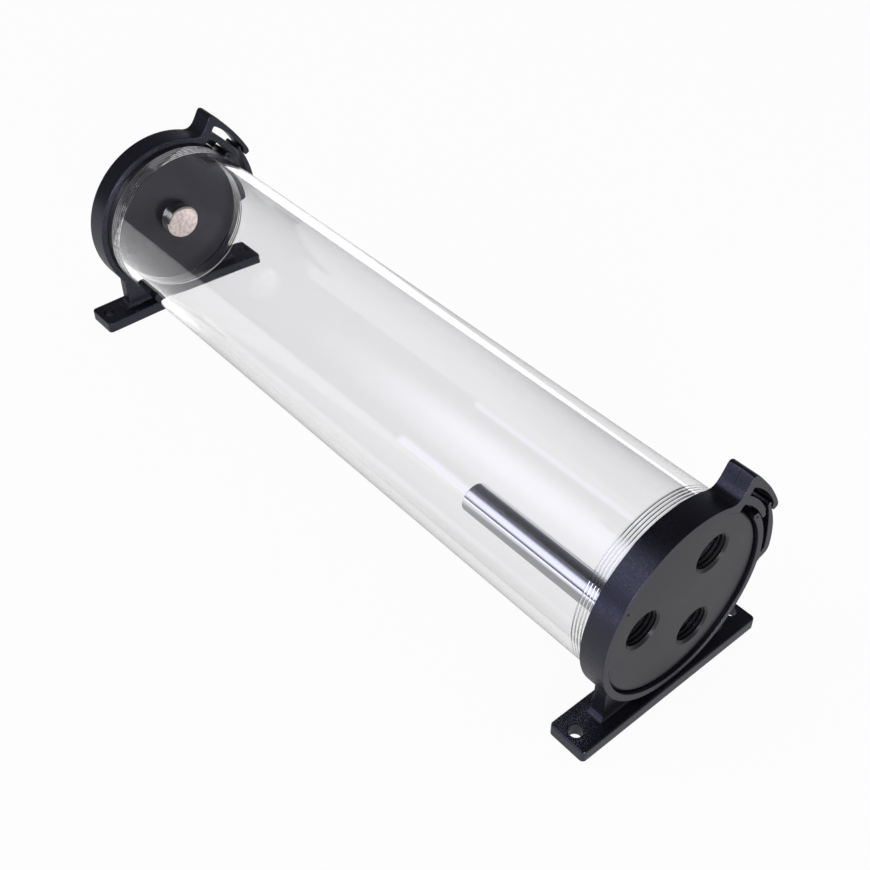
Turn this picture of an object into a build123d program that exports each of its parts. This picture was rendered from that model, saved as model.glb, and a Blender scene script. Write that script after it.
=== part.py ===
"""Cylindrical cooling reservoir lying in two snap holders.

Millimetres. The tank axis runs along X, the cap with three ports faces +X, Z is up.
The origin is on the surface under the feet, midway between the two holders.
"""

import os
from math import cos, radians, sin

from build123d import *

# Clear tube
tube_od = 60.0
tube_wall = 3.0
tube_length = 259.5

# Threaded joint between a cap and the tube
thread_depth = 11.0
thread_relief = 0.6
thread_play = 0.1

# Caps
cap_flange = 3.25
cap_edge_bevel = 1.2
cap_screw_length = 5.5
seal_groove_width = 2.2
seal_groove_depth = 1.65
seal_section = 1.6
seal_play = 0.05

# Threaded ports
port_radius = 5.9
port_mouth_bevel = 0.8
port_count = 3
port_circle_radius = 16.4
port_first_angle = 54.5
witness_radius = 0.45
witness_depth = 1.0
witness_circle = 27.4
witness_angle = 150.0

# Standpipe screwed into one port from inside
pipe_od = 9.5
pipe_wall = 1.0
pipe_reach = 57.7
pipe_foot_length = 3.3
pipe_seat_depth = 3.5
pipe_seat_radius = 5.4
pipe_collar_length = 1.0
pipe_collar_radius = 6.5
pipe_end_bevel = 0.3
port_thread_play = 0.08

# Plug in the fill cap
fill_port_radius = 6.58
fill_port_bevel = 0.3
plug_reach = 5.75
plug_tip_bevel = 0.4
plug_head_radius = 9.0
plug_head_height = 3.0
plug_head_bevel = 0.5
plug_socket_flats = 6.0
plug_socket_depth = 4.5
plug_seal_inner = 6.9
plug_seal_section = 1.5
plug_seal_groove_play = 0.15

# Snap ring of a holder
ring_play = 0.1
ring_wall = 2.3
ring_width = 8.7
ring_proud = 1.05
split_angle = 180.0
split_turn = 0.1
full_turn = 360.0

# Latch on the ring: angles above the +Y direction, and walls and gaps outwards from the ring
inner_finger_end = 35.5
strap_end = 55.7
finger_play = 0.25
finger_wall = 2.35
finger_tip_wall = 1.6
finger_tip = 26.0
arm_root = -8.5
arm_slot_end = -2.8
arm_slot_width = 1.5
arm_wall = 2.65
arm_play = 0.7
arm_tip = 31.5
arm_tip_wall = 1.0
catch_start = 29.5
catch_height = 0.5
catch_hold = 0.3
lip_end = 27.0
roof_start = 57.0
roof_tip = 23.2
roof_play = 0.5
roof_wall = 1.75
roof_crown = 0.6
roof_thinning = 0.8
tab_angle = 60.6
tab_rise = 2.45
slot_wall = 1.2
slot_wall_end = 37.2
tab_root_round = 2.6
tab_top_round = 1.3

# Foot of a holder
axis_height = 37.6
foot_width = 13.6
foot_span = 74.6
foot_thickness = 4.4
foot_corner_round = 1.4
foot_edge_bevel = 0.7
foot_hole_radius = 2.15
foot_hole_inset = 3.8
holder_offset = 1.35
web_thickness = 4.6
web_span = 50.0
web_flare = 2.5
web_join_angle = 39.0

# Worked out from the sizes above
tube_radius = tube_od / 2
bore_radius = tube_radius - tube_wall
thread_radius = bore_radius + thread_relief
screw_radius = thread_radius - thread_play
cap_face = tube_length / 2 + cap_flange
cap_inner_face = tube_length / 2 - cap_screw_length
cap_thickness = cap_flange + cap_screw_length
groove_radius = screw_radius - seal_groove_depth
ring_inner = tube_radius + ring_play
ring_outer = ring_inner + ring_wall
ring_front = cap_face + ring_proud
ring_centre = ring_front - ring_width / 2
tank_x = holder_offset
foot_hole_span = foot_span - 2 * foot_hole_inset
pipe_thread_radius = pipe_seat_radius - port_thread_play
plug_thread_radius = fill_port_radius - port_thread_play
finger_inner = ring_outer + finger_play
finger_outer = finger_inner + finger_wall
arm_slot_inner = ring_outer + arm_slot_width
arm_outer = arm_slot_inner + arm_wall
arm_tip_inner = finger_outer + arm_play
arm_tip_outer = arm_tip_inner + arm_tip_wall
catch_outer = arm_tip_outer + catch_height
lip_inner = catch_outer - catch_hold
roof_inner = catch_outer + roof_play
roof_outer = roof_inner + roof_wall
tab_top = roof_outer + tab_rise
slot_outer = roof_inner + roof_thinning
web_top = ring_outer * sin(radians(-web_join_angle))
web_base = foot_thickness - axis_height
overlap = 0.3
tank_axis = Axis((tank_x, 0, axis_height), (1, 0, 0))


def polar(radius, angle):
    """Point at a radius and an angle, in degrees, round the tank axis."""
    return (radius * cos(radians(angle)), radius * sin(radians(angle)))


def across(x):
    """Plane across the tank at x, looking along +X, with +Y and +Z as its axes."""
    return Plane(origin=(x, 0, axis_height), x_dir=(0, 1, 0), z_dir=(1, 0, 0))


def lengthwise(end):
    """Plane through the tank axis for turned pieces, running outwards to one end."""
    return Plane(origin=(tank_x, 0, axis_height), x_dir=(end, 0, 0), z_dir=(0, -end, 0))


def write(piece, name):
    """Label a finished piece and write it as a STEP file."""
    piece.part.label = name
    export_step(piece.part, f"parts/{name}.step")


os.makedirs("parts", exist_ok=True)

# Clear tube, bored out at both ends for its threads
half_tube = tube_length / 2
with BuildPart() as reservoir_tube:
    with BuildSketch(lengthwise(1)):
        with BuildLine():
            Polyline(
                (-half_tube, thread_radius),
                (-half_tube, tube_radius),
                (half_tube, tube_radius),
                (half_tube, thread_radius),
                (half_tube - thread_depth, thread_radius),
                (half_tube - thread_depth - thread_relief, bore_radius),
                (-half_tube + thread_depth + thread_relief, bore_radius),
                (-half_tube + thread_depth, thread_radius),
                close=True,
            )
        make_face()
    revolve(axis=tank_axis)
write(reservoir_tube, "reservoir_tube")

# Outline of a cap: a flange outside the tube and a grooved screw inside it
cap_outline = [
    (cap_face, 0),
    (cap_face, tube_radius - cap_edge_bevel),
    (cap_face - cap_edge_bevel, tube_radius),
    (half_tube, tube_radius),
    (half_tube, groove_radius),
    (half_tube - seal_groove_width, groove_radius),
    (half_tube - seal_groove_width, screw_radius),
    (cap_inner_face, screw_radius),
    (cap_inner_face, 0),
]

# Cap with three ports
port_places = [
    polar(port_circle_radius, port_first_angle + full_turn * index / port_count) for index in range(port_count)
]
with BuildPart() as port_cap:
    with BuildSketch(lengthwise(1)):
        with BuildLine():
            Polyline(*cap_outline, close=True)
        make_face()
    revolve(axis=tank_axis)
    with BuildSketch(across(tank_x + cap_face)):
        with Locations(port_places[0], port_places[2]):
            Circle(port_radius)
    extrude(amount=-cap_thickness, mode=Mode.SUBTRACT)
    with BuildSketch(across(tank_x + cap_face)):
        with Locations(port_places[1]):
            Circle(port_radius)
    extrude(amount=pipe_seat_depth - cap_thickness, mode=Mode.SUBTRACT)
    with BuildSketch(across(tank_x + cap_face)):
        with Locations(port_places[1]):
            Circle(pipe_seat_radius)
    extrude(amount=-cap_thickness, mode=Mode.SUBTRACT)
    mouths = edges().filter_by(GeomType.CIRCLE).group_by(Axis.X)[-1]
    chamfer(mouths.filter_by(lambda edge: edge.radius < port_radius + thread_play), port_mouth_bevel)
    with BuildSketch(across(tank_x + cap_face)):
        with Locations(polar(witness_circle, witness_angle)):
            Circle(witness_radius)
    extrude(amount=-witness_depth, mode=Mode.SUBTRACT)
write(port_cap, "port_cap")

# Cap with the fill opening in its centre
with BuildPart() as fill_cap:
    with BuildSketch(lengthwise(-1)):
        with BuildLine():
            Polyline(*cap_outline, close=True)
        make_face()
    revolve(axis=tank_axis)
    with BuildSketch(across(tank_x - cap_face)):
        Circle(fill_port_radius)
    extrude(amount=cap_thickness, mode=Mode.SUBTRACT)
    mouths = edges().filter_by(GeomType.CIRCLE).group_by(Axis.X)[0]
    chamfer(mouths.filter_by(lambda edge: edge.radius < fill_port_radius + thread_play), fill_port_bevel)
write(fill_cap, "fill_cap")

# Square-section seals in the grooves of the two caps
seal_radius = screw_radius + thread_play - seal_play - seal_section / 2
for seal_name, end in (("port_cap_seal", 1), ("fill_cap_seal", -1)):
    with BuildPart() as cap_seal:
        with BuildSketch(lengthwise(end)):
            with Locations((half_tube - seal_groove_width / 2, seal_radius)):
                Rectangle(seal_section, seal_section)
        revolve(axis=tank_axis)
    write(cap_seal, seal_name)

# Standpipe on the axis of the second port
pipe_y, pipe_z = port_places[1]
pipe_radius = pipe_od / 2
pipe_bore = pipe_radius - pipe_wall
pipe_foot = cap_inner_face + pipe_foot_length
pipe_shoulder = cap_inner_face - pipe_collar_length
pipe_end = cap_inner_face - pipe_reach
pipe_axis = Axis((tank_x, pipe_y, axis_height + pipe_z), (1, 0, 0))
with BuildPart() as standpipe:
    with BuildSketch(Plane(origin=pipe_axis.position, x_dir=(1, 0, 0), z_dir=(0, -1, 0))):
        with BuildLine():
            Polyline(
                (pipe_foot, pipe_bore),
                (pipe_foot, pipe_thread_radius),
                (cap_inner_face, pipe_thread_radius),
                (cap_inner_face, pipe_collar_radius),
                (pipe_shoulder, pipe_collar_radius),
                (pipe_shoulder, pipe_radius),
                (pipe_end + pipe_end_bevel, pipe_radius),
                (pipe_end, pipe_radius - pipe_end_bevel),
                (pipe_end, pipe_bore + pipe_end_bevel),
                (pipe_end + pipe_end_bevel, pipe_bore),
                close=True,
            )
        make_face()
    revolve(axis=pipe_axis)
write(standpipe, "standpipe")

# Plug screwed into the fill cap from outside, with its seal under the head
plug_seat = cap_face
plug_tip = cap_inner_face - plug_reach
seal_outer = plug_seal_inner + plug_seal_section
with BuildPart() as fill_plug:
    with BuildSketch(lengthwise(-1)):
        with BuildLine():
            Polyline(
                (plug_seat + plug_head_height, 0),
                (plug_seat + plug_head_height, plug_head_radius - plug_head_bevel),
                (plug_seat + plug_head_height - plug_head_bevel, plug_head_radius),
                (plug_seat + plug_seal_groove_play, plug_head_radius),
                (plug_seat + plug_seal_groove_play, seal_outer + plug_seal_groove_play),
                (plug_seat + plug_seal_section, seal_outer + plug_seal_groove_play),
                (plug_seat + plug_seal_section, plug_thread_radius),
                (plug_tip + plug_tip_bevel, plug_thread_radius),
                (plug_tip, plug_thread_radius - plug_tip_bevel),
                (plug_tip, 0),
                close=True,
            )
        make_face()
    revolve(axis=tank_axis)
    with BuildSketch(across(tank_x - plug_seat - plug_head_height)):
        RegularPolygon(plug_socket_flats / 2, 6, major_radius=False)
    extrude(amount=plug_socket_depth, mode=Mode.SUBTRACT)
write(fill_plug, "fill_plug")

with BuildPart() as fill_plug_seal:
    with BuildSketch(lengthwise(-1)):
        with Locations((plug_seat + plug_seal_section / 2, plug_seal_inner + plug_seal_section / 2)):
            Rectangle(plug_seal_section - 2 * seal_play, plug_seal_section - 2 * seal_play)
    revolve(axis=tank_axis)
write(fill_plug_seal, "fill_plug_seal")


def band(inner, outer, start, end):
    """Sketch of an annular sector between two radii, from start to end in degrees."""
    with BuildSketch() as sector:
        with BuildLine():
            CenterArc((0, 0), inner, start, end - start)
            CenterArc((0, 0), outer, start, end - start)
            Line(polar(inner, start), polar(outer, start))
            Line(polar(inner, end), polar(outer, end))
        make_face()
    return sector.sketch


# Fixed side of the snap ring: ring with its inner finger, and the catch arm outside it
with BuildSketch() as cradle_profile:
    add(band(ring_inner, ring_outer, split_angle + split_turn, full_turn + inner_finger_end))
    with BuildLine():
        slot_side = ThreePointArc(
            polar(arm_slot_inner, arm_slot_end),
            polar(0.9 * arm_slot_inner + 0.1 * arm_tip_inner, 12),
            polar(arm_tip_inner, arm_tip),
        )
        catch_end = Line(slot_side @ 1, polar(catch_outer, arm_tip))
        catch = CenterArc((0, 0), catch_outer, arm_tip, catch_start - arm_tip)
        catch_step = Line(catch @ 1, polar(arm_tip_outer, catch_start))
        arm_back = ThreePointArc(
            catch_step @ 1, polar(arm_outer, 10), polar(arm_outer - overlap, arm_slot_end - 1.5)
        )
        arm_heel = Line(arm_back @ 1, polar(ring_outer - overlap, arm_root))
        arm_foot = Line(arm_heel @ 1, polar(ring_outer - overlap, arm_slot_end))
        Line(arm_foot @ 1, slot_side @ 0)
    make_face()

# Moving side of the snap ring: ring with its finger, thumb tab and overlapping roof.
# A thin wall at its back closes the slot between the two ring ends.
with BuildSketch() as strap_profile:
    add(band(ring_inner, ring_outer, strap_end, split_angle - split_turn))
    with BuildLine():
        tab_face = Line(polar(ring_outer - overlap, tab_angle + 1), polar(tab_top, tab_angle))
        tab_end = Line(tab_face @ 1, polar(tab_top, roof_start))
        roof = ThreePointArc(tab_end @ 1, polar(roof_outer + roof_crown, 40), polar(roof_outer, roof_tip))
        roof_end = Line(roof @ 1, polar(lip_inner, roof_tip))
        lip = CenterArc((0, 0), lip_inner, roof_tip, lip_end - roof_tip)
        lip_rise = Line(lip @ 1, polar(roof_inner, lip_end + 0.7))
        roof_under = ThreePointArc(
            lip_rise @ 1,
            polar((roof_inner + slot_outer) / 2, 42),
            polar(slot_outer, strap_end - 1.5),
        )
        slot_end = ThreePointArc(
            roof_under @ 1,
            polar((slot_outer + finger_outer) / 2, strap_end - 0.6),
            polar(finger_outer, strap_end - 1.5),
        )
        finger_back = ThreePointArc(
            slot_end @ 1,
            polar(0.6 * finger_outer + 0.4 * (finger_inner + finger_tip_wall), 38),
            polar(finger_inner + finger_tip_wall, finger_tip),
        )
        finger_end = Line(finger_back @ 1, polar(finger_inner, finger_tip))
        finger_front = CenterArc((0, 0), finger_inner, finger_tip, strap_end - finger_tip)
        end_face = Line(finger_front @ 1, polar(ring_outer - overlap, strap_end))
        Line(end_face @ 1, tab_face @ 0)
    make_face()
    tab_root = vertices().sort_by_distance(polar(ring_outer, tab_angle + 1))[0]
    fillet(tab_root, tab_root_round)
    tab_corner = vertices().sort_by_distance(polar(tab_top, tab_angle))[0]
    fillet(tab_corner, tab_top_round)

# Upright web between the foot and the ring
with BuildSketch() as web_profile:
    with Locations((0, web_base)):
        Rectangle(web_span, -web_base, align=(Align.CENTER, Align.MIN))
        Rectangle(web_span + 2 * web_flare, web_flare, align=(Align.CENTER, Align.MIN))
    with Locations((web_span / 2 + web_flare, web_base + web_flare)):
        Circle(web_flare, mode=Mode.SUBTRACT)
    with Locations((-web_span / 2 - web_flare, web_base + web_flare)):
        Circle(web_flare, mode=Mode.SUBTRACT)
    Circle(ring_inner + ring_wall / 2, mode=Mode.SUBTRACT)
    with Locations((0, web_top)):
        Rectangle(tube_od + foot_span, axis_height, align=(Align.CENTER, Align.MIN), mode=Mode.SUBTRACT)

# Two snap holders: a cradle with a foot, and the strap that snaps over the tank
for holder_name, side in (("port_end", 1), ("fill_end", -1)):
    foot_x = side * ring_centre
    ring_back = foot_x + holder_offset - ring_width / 2

    with BuildPart() as cradle:
        with BuildSketch(Plane.XY):
            with Locations((foot_x, 0)):
                RectangleRounded(foot_width, foot_span, foot_corner_round)
        extrude(amount=foot_thickness)
        chamfer(edges().group_by(Axis.Z)[-1], foot_edge_bevel)
        with BuildSketch(across(foot_x - web_thickness / 2)):
            add(web_profile.sketch)
        extrude(amount=web_thickness)
        with BuildSketch(across(ring_back)):
            add(cradle_profile.sketch)
        extrude(amount=ring_width)
        with BuildSketch(Plane.XY.offset(foot_thickness)):
            with Locations((foot_x, foot_hole_span / 2), (foot_x, -foot_hole_span / 2)):
                Circle(foot_hole_radius)
        extrude(amount=-foot_thickness, mode=Mode.SUBTRACT)
    write(cradle, f"{holder_name}_cradle")

    with BuildPart() as strap:
        with BuildSketch(across(ring_back)):
            add(strap_profile.sketch)
        extrude(amount=ring_width)
        with BuildSketch(across(ring_back)):
            add(band(ring_inner, finger_inner + overlap, slot_wall_end, strap_end + split_turn))
        extrude(amount=slot_wall)
    write(strap, f"{holder_name}_strap")
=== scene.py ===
"""Studio picture of a clear cylindrical cooling reservoir held by two black snap holders.

Sizes in the classes are in millimetres and become metres where a mesh is made. The tank's
axis runs along X, the cap with three ports faces +X, and Z is up.
"""

import logging
import math
from dataclasses import dataclass, field
from enum import Enum
from typing import Callable, Iterable, Sequence

import bmesh
import bpy
from mathutils import Matrix, Vector

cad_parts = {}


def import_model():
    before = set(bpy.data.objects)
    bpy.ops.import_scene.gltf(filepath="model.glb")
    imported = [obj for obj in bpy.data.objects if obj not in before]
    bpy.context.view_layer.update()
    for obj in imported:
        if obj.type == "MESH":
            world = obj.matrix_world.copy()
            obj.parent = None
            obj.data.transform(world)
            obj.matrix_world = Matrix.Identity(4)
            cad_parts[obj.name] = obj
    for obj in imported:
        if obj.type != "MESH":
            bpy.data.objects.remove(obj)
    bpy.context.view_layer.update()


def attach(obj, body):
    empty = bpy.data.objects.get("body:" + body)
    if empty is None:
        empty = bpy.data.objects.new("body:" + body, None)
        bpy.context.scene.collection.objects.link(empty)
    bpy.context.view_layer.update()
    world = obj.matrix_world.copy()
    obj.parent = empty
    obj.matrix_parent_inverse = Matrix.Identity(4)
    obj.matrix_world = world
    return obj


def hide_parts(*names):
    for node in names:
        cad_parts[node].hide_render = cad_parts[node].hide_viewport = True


log = logging.getLogger("reservoir")

MM = 0.001
AXIS_HEIGHT = 37.6
TANK_X = 1.35

Point = tuple[float, float, float]
Polar = tuple[float, float]


class End(Enum):
    """The two ends of the tank, valued by the direction they face along X."""

    PORT = 1
    FILL = -1

    @property
    def prefix(self) -> str:
        """First words of the names of this end's pieces."""
        return "port_end" if self is End.PORT else "fill_end"


class Cut(Enum):
    """How one solid acts on another."""

    UNION = "UNION"
    DIFFERENCE = "DIFFERENCE"
    INTERSECT = "INTERSECT"


# ---------------------------------------------------------------- tools


def tank_point(x: float, radius: float, degrees: float) -> Point:
    """Point round the tank axis.

    Args:
        x: Distance along the tank from its middle, in mm.
        radius: Distance from the tank axis, in mm.
        degrees: Angle above +Y, as seen from the port end.

    Returns:
        The point in metres.
    """
    a = math.radians(degrees)
    return ((TANK_X + x) * MM, radius * math.cos(a) * MM, (AXIS_HEIGHT + radius * math.sin(a)) * MM)


def sweep(start: Polar, end: Polar, steps: int) -> list[Polar]:
    """Points that pass evenly from one polar place to another.

    Args:
        start: Radius and angle of the first point.
        end: Radius and angle of the last point.
        steps: Number of stretches between them.

    Returns:
        The points, both ends included.
    """
    return [
        (
            start[0] + (end[0] - start[0]) * i / steps,
            start[1] + (end[1] - start[1]) * i / steps,
        )
        for i in range(steps + 1)
    ]


class Bench:
    """Hand tools for meshes, each working on one object at a time."""

    @staticmethod
    def only(obj: bpy.types.Object) -> None:
        """Select one object and make it active."""
        bpy.ops.object.select_all(action="DESELECT")
        obj.select_set(True)
        bpy.context.view_layer.objects.active = obj

    @staticmethod
    def edit(obj: bpy.types.Object, mode: str = "VERT") -> None:
        """Open one object in edit mode with nothing selected."""
        Bench.only(obj)
        bpy.ops.object.mode_set(mode="EDIT")
        bpy.ops.mesh.select_mode(type=mode)
        bpy.ops.mesh.select_all(action="DESELECT")

    @staticmethod
    def close_edit() -> None:
        """Leave edit mode."""
        bpy.ops.object.mode_set(mode="OBJECT")

    @staticmethod
    def pick_edges(obj: bpy.types.Object, wanted: Callable[[Vector, Vector], bool]) -> int:
        """Select edges by where their ends are.

        Args:
            obj: The object, open in edit mode.
            wanted: Says from the two ends, in metres, if an edge is taken.

        Returns:
            How many edges were taken.
        """
        bpy.ops.mesh.select_mode(type="EDGE")
        bpy.ops.object.mode_set(mode="OBJECT")
        mesh = obj.data
        mesh.polygons.foreach_set("select", [False] * len(mesh.polygons))
        mesh.vertices.foreach_set("select", [False] * len(mesh.vertices))
        taken = 0
        for edge in mesh.edges:
            a, b = (mesh.vertices[i].co for i in edge.vertices)
            edge.select = wanted(a, b)
            taken += int(edge.select)
        bpy.ops.object.mode_set(mode="EDIT")
        return taken

    @staticmethod
    def pick_faces(obj: bpy.types.Object, wanted: Callable[[Vector, Vector], bool]) -> int:
        """Select faces by their centre and normal.

        Args:
            obj: The object, open in edit mode.
            wanted: Says from centre and normal if a face is taken.

        Returns:
            How many faces were taken.
        """
        bpy.ops.mesh.select_mode(type="FACE")
        bpy.ops.object.mode_set(mode="OBJECT")
        taken = 0
        for face in obj.data.polygons:
            face.select = wanted(face.center, face.normal)
            taken += int(face.select)
        bpy.ops.object.mode_set(mode="EDIT")
        return taken

    @staticmethod
    def line(name: str, points: Sequence[Point]) -> bpy.types.Object:
        """Draw a chain of edges by extruding one vertex from point to point.

        Args:
            name: Name of the new object.
            points: The chain's points, in metres.

        Returns:
            The object, left in edit mode with its last vertex selected.
        """
        bpy.ops.object.select_all(action="DESELECT")
        bpy.ops.mesh.primitive_plane_add(size=0.001, location=(0, 0, 0))
        obj = bpy.context.object
        obj.name = name
        obj.data.name = name
        bpy.ops.object.mode_set(mode="EDIT")
        bpy.ops.mesh.select_mode(type="VERT")
        bpy.ops.mesh.select_all(action="SELECT")
        bpy.ops.mesh.merge(type="CENTER")
        bpy.ops.transform.translate(value=points[0])
        for last, following in zip(points, points[1:]):
            step = [b - a for a, b in zip(last, following)]
            bpy.ops.mesh.extrude_region_move(TRANSFORM_OT_translate={"value": step})
        return obj

    @staticmethod
    def tidy(obj: bpy.types.Object, distance: float = 2e-6) -> None:
        """Merge doubles and turn all faces outwards, and leave edit mode."""
        bpy.ops.mesh.select_mode(type="VERT")
        bpy.ops.mesh.select_all(action="SELECT")
        bpy.ops.mesh.remove_doubles(threshold=distance)
        bpy.ops.mesh.select_all(action="SELECT")
        bpy.ops.mesh.normals_make_consistent(inside=False)
        if Bench.volume(obj) < 0:
            bpy.ops.mesh.flip_normals()
        Bench.close_edit()

    @staticmethod
    def volume(obj: bpy.types.Object) -> float:
        """Signed volume inside a closed mesh that is open in edit mode, in cubic metres."""
        return bmesh.from_edit_mesh(obj.data).calc_volume(signed=True)

    @staticmethod
    def turned(name: str, outline: Sequence[Polar], steps: int, centre: Point) -> bpy.types.Object:
        """Spin a closed outline round a line along X.

        Args:
            name: Name of the new object.
            outline: Pairs of x and radius in mm, x counted from the tank's middle.
            steps: Number of stretches round the turn.
            centre: A point on the line, in metres.

        Returns:
            The turned solid.
        """
        points = [((TANK_X + x) * MM, centre[1], centre[2] + r * MM) for x, r in outline]
        if outline[0][1] > 0 or outline[-1][1] > 0:
            points.append(points[0])
        obj = Bench.line(name, points)
        bpy.ops.mesh.select_all(action="SELECT")
        bpy.ops.mesh.remove_doubles(threshold=1e-7)
        bpy.ops.mesh.select_all(action="SELECT")
        bpy.ops.mesh.spin(
            steps=steps, dupli=False, angle=2 * math.pi, center=centre, axis=(1, 0, 0)
        )
        Bench.tidy(obj)
        return obj

    @staticmethod
    def modify(obj: bpy.types.Object, kind: str, **settings: object) -> None:
        """Add a modifier, set it and apply it.

        Args:
            obj: The object to change.
            kind: The modifier's type.
            settings: Values of the modifier's properties.
        """
        Bench.only(obj)
        modifier = obj.modifiers.new(kind.title(), kind)
        for key, value in settings.items():
            setattr(modifier, key, value)
        bpy.ops.object.modifier_apply(modifier=modifier.name)

    @staticmethod
    def combine(obj: bpy.types.Object, other: bpy.types.Object, how: Cut) -> bpy.types.Object:
        """Join, cut or intersect two solids and remove the second.

        Args:
            obj: The solid that stays.
            other: The solid that acts on it.
            how: The kind of cut.

        Returns:
            The first solid, changed.
        """
        Bench.modify(obj, "BOOLEAN", object=other, operation=how.value, solver="MANIFOLD")
        if Bench.open_edges(obj):
            log.warning("%s has %d open edges after %s", obj.name, Bench.open_edges(obj), other.name)
        bpy.data.objects.remove(other)
        obj.data.materials.clear()
        return obj

    @staticmethod
    def joined(objects: Sequence[bpy.types.Object]) -> bpy.types.Object:
        """Join separate solids into one object, and return the first."""
        bpy.ops.object.select_all(action="DESELECT")
        for obj in objects:
            obj.select_set(True)
        bpy.context.view_layer.objects.active = objects[0]
        bpy.ops.object.join()
        return objects[0]

    @staticmethod
    def open_edges(obj: bpy.types.Object) -> int:
        """Number of edges that don't join exactly two faces."""
        mesh = bmesh.new()
        mesh.from_mesh(obj.data)
        count = sum(1 for edge in mesh.edges if not edge.is_manifold)
        mesh.free()
        return count

    @staticmethod
    def smooth(obj: bpy.types.Object, degrees: float = 30.0, weighted: bool = True) -> None:
        """Shade smooth, but keep sharp edges.

        Args:
            obj: The object.
            degrees: Edges sharper than this angle stay sharp.
            weighted: Let the larger faces stay flat or truly round beside their bevels.
        """
        Bench.only(obj)
        bpy.ops.object.shade_smooth_by_angle(angle=math.radians(degrees))
        if weighted:
            Bench.modify(obj, "WEIGHTED_NORMAL", mode="FACE_AREA", weight=50, keep_sharp=True)

    @staticmethod
    def place(obj: bpy.types.Object) -> None:
        """Move an object's place into its mesh, so that the object sits at the origin."""
        Bench.only(obj)
        bpy.ops.object.transform_apply(location=True, rotation=True, scale=True)

    @staticmethod
    def dress(
        obj: bpy.types.Object, body: str, node: str, slot: str, finishes: Iterable[bpy.types.Material]
    ) -> bpy.types.Object:
        """Give a finished piece its materials, its body and the node that it stands for.

        Args:
            obj: The finished piece.
            body: The body that it moves with.
            node: The node that it replaces.
            slot: Not used.
            finishes: The piece's materials, in order.

        Returns:
            The same piece.
        """
        Bench.place(obj)
        for material in finishes:
            if material.name not in obj.data.materials:
                obj.data.materials.append(material)
        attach(obj, body)
        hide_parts(node)
        log.info("%s: %d faces, rides on %s", obj.name, len(obj.data.polygons), body)
        return obj


@dataclass(frozen=True)
class Thread:
    """A right-handed screw thread round a line along X."""

    pitch: float
    minor: float
    major: float
    crest_share: float = 0.16
    steps: int = 96

    def rod(
        self, name: str, start: float, stop: float, centre: Point, phase: float = 0.0
    ) -> bpy.types.Object:
        """Make a closed threaded rod.

        Args:
            name: Name of the new object.
            start: Lower x of the rod in mm, from the tank's middle.
            stop: Higher x of the rod.
            centre: A point on its axis, in metres.
            phase: The x of one crest straight above the axis.

        Returns:
            The rod, with flat ends.
        """
        first = phase + self.pitch * (math.floor((start - phase) / self.pitch) - 2)
        turns = int(math.ceil((stop - first) / self.pitch)) + 2
        half = self.pitch * self.crest_share / 2
        flank = self.pitch * (0.5 - self.crest_share)
        shape = [
            (-self.pitch / 2, self.minor),
            (-half - flank, self.minor),
            (-half, self.major),
            (half, self.major),
            (half + flank, self.minor),
            (self.pitch / 2, self.minor),
        ]
        points = [(x * MM, 0.0, r * MM) for x, r in shape]
        obj = Bench.line(name, points)
        Bench.close_edit()
        obj.location = ((TANK_X + first) * MM, centre[1], centre[2])
        Bench.modify(
            obj,
            "SCREW",
            axis="X",
            angle=2 * math.pi,
            screw_offset=self.pitch * MM,
            iterations=turns,
            steps=self.steps,
            render_steps=self.steps,
            use_normal_calculate=True,
        )
        Bench.place(obj)
        Bench.edit(obj)
        bpy.ops.mesh.select_all(action="SELECT")
        bpy.ops.mesh.remove_doubles(threshold=2e-6)
        for x, side in ((start, True), (stop, False)):
            bpy.ops.mesh.select_all(action="SELECT")
            bpy.ops.mesh.bisect(
                plane_co=((TANK_X + x) * MM, 0, 0),
                plane_no=(1, 0, 0),
                use_fill=True,
                clear_inner=side,
                clear_outer=not side,
                threshold=1e-7,
            )
        Bench.tidy(obj, 5e-7)
        return obj


# ---------------------------------------------------------------- finishes


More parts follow.
